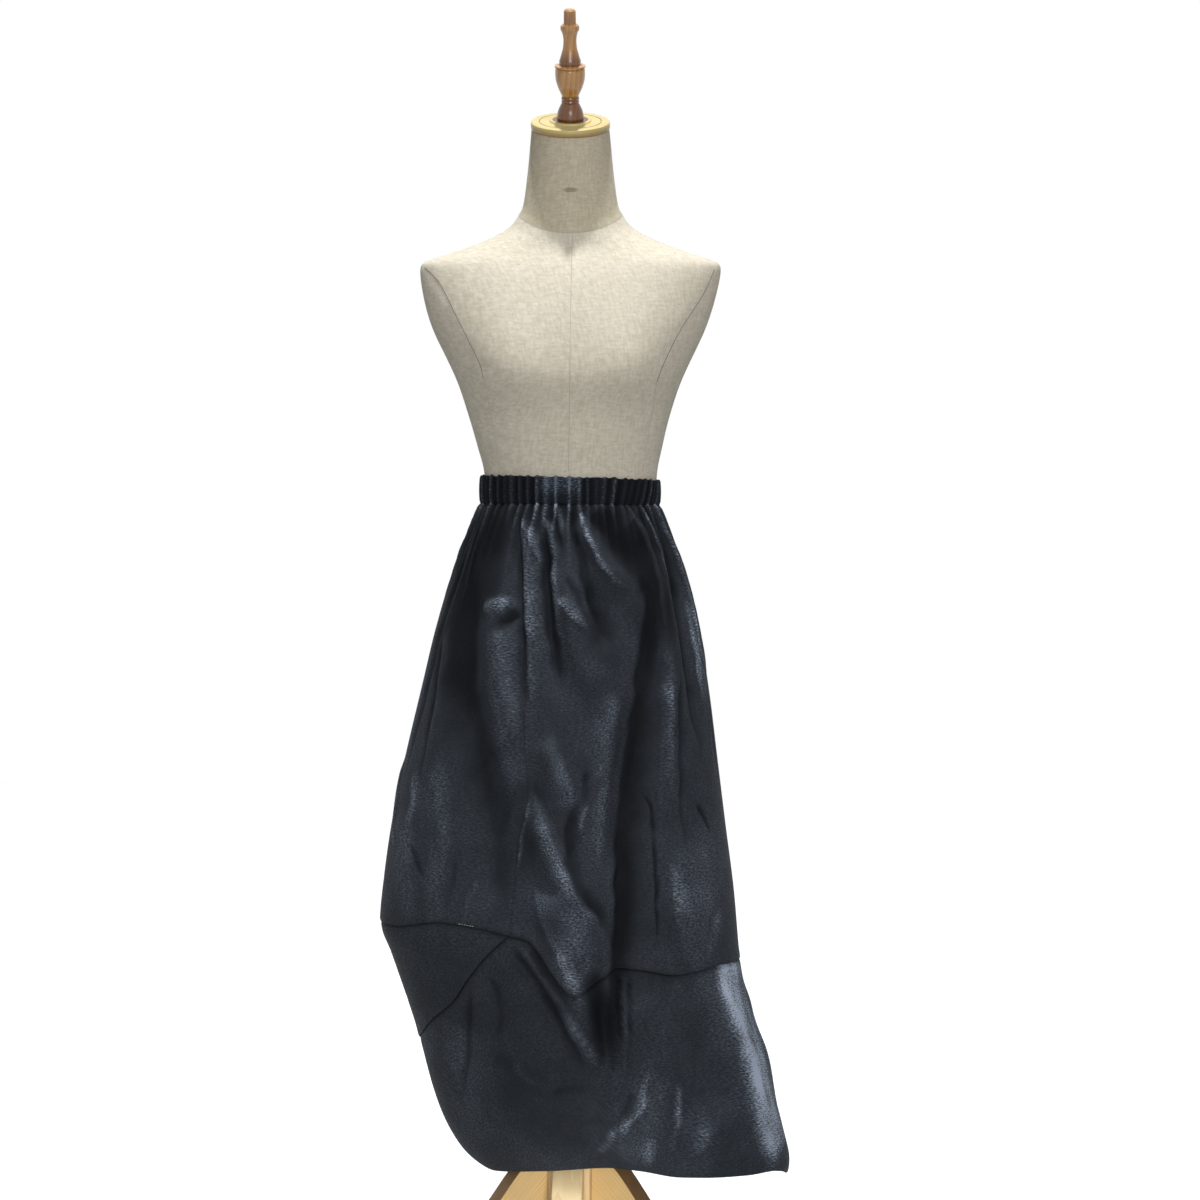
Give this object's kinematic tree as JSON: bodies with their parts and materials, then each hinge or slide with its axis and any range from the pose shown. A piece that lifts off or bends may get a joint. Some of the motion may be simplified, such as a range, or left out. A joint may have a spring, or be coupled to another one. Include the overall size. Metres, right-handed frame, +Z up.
{
  "type": "maxi skirt on dress form",
  "caption": "Long black panelled skirt with a gathered elastic waist, a slanted yoke seam and a rolled hem, worn by a limbless linen dress form on a wooden stand.",
  "frame": {"origin": "centre of the stand on the floor", "axes": "+Z up; the front of the skirt and of the form faces -Y; +X is to the right as seen from the front"},
  "size_m": [0.6009, 0.5727, 1.7372],
  "materials": {
    "skirt_cloth": "black crepe-backed satin with a soft blue-grey sheen",
    "form_linen": "cream linen with fine slubs, stretched over a hard form",
    "cap_wood": "lacquered pale yellow wood",
    "finial_wood": "glossy red-brown turned wood",
    "stand_wood": "light tan wood, lightly varnished",
    "collar_steel": "plain brushed steel"
  },
  "bodies": {
    "root": {"skirt_waistband": "skirt_cloth", "skirt_upper_front": "skirt_cloth", "skirt_upper_left": "skirt_cloth", "skirt_upper_right": "skirt_cloth", "skirt_lower_gusset": "skirt_cloth", "skirt_lower_main": "skirt_cloth", "form_torso": "form_linen", "form_neck": "form_linen", "form_neck_cap": "cap_wood", "form_finial": "finial_wood", "form_base_plate": "cap_wood", "stand_collar": "collar_steel", "stand_pole": "stand_wood", "stand_hub": "stand_wood", "stand_leg_1": "stand_wood", "stand_leg_2": "stand_wood", "stand_leg_3": "stand_wood", "stand_leg_4": "stand_wood", "stand_leg_5": "stand_wood"}
  },
  "joints": []
}
